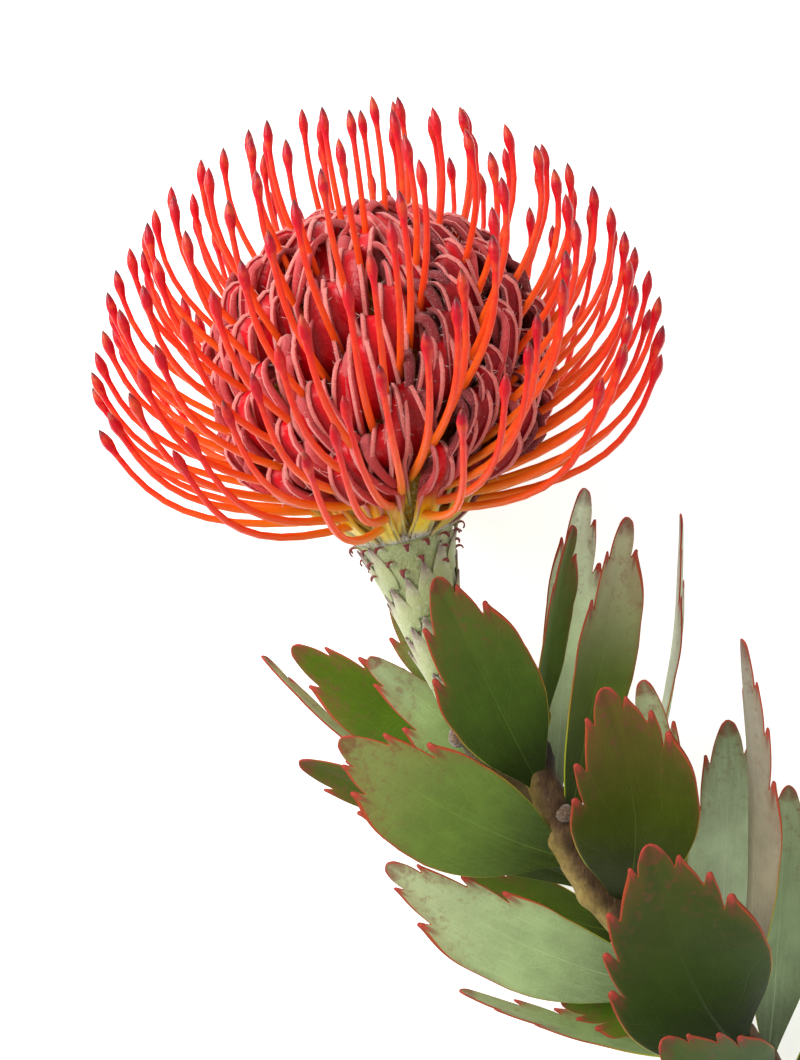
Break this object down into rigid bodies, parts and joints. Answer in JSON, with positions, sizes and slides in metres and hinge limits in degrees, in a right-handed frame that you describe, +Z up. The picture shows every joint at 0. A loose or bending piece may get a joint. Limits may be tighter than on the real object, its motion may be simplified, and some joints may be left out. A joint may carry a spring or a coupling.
{
  "type": "protea flower",
  "caption": "Cut pincushion protea lying down: a round red-orange head of long styles on a woody stem with toothed green leaves.",
  "frame": {"origin": "on the surface it lies on, under the middle of its bounding box", "axes": "+Z up from the surface, +Y along the flower from the cut end towards the head, +X to the right seen from above"},
  "size_m": [0.1825, 0.2363, 0.1084],
  "materials": {
    "bloom": "waxy red-orange styles with crimson tips over furry curled petals",
    "bark": "matt brown and olive bark, grey-green scaly stalk",
    "leaf": "leathery satin green with thin red margin and pale veins"
  },
  "bodies": {
    "root": {"flower_head": "bloom", "stem": "bark", "leaf_01": "leaf", "leaf_02": "leaf", "leaf_03": "leaf", "leaf_04": "leaf", "leaf_05": "leaf", "leaf_06": "leaf", "leaf_07": "leaf", "leaf_08": "leaf", "leaf_09": "leaf", "leaf_10": "leaf", "leaf_11": "leaf", "leaf_12": "leaf", "leaf_13": "leaf", "leaf_14": "leaf", "leaf_15": "leaf", "leaf_16": "leaf", "leaf_17": "leaf", "leaf_18": "leaf", "leaf_19": "leaf", "leaf_20": "leaf", "leaf_21": "leaf", "leaf_22": "leaf", "leaf_23": "leaf", "leaf_24": "leaf", "leaf_25": "leaf", "leaf_26": "leaf"}
  },
  "joints": []
}
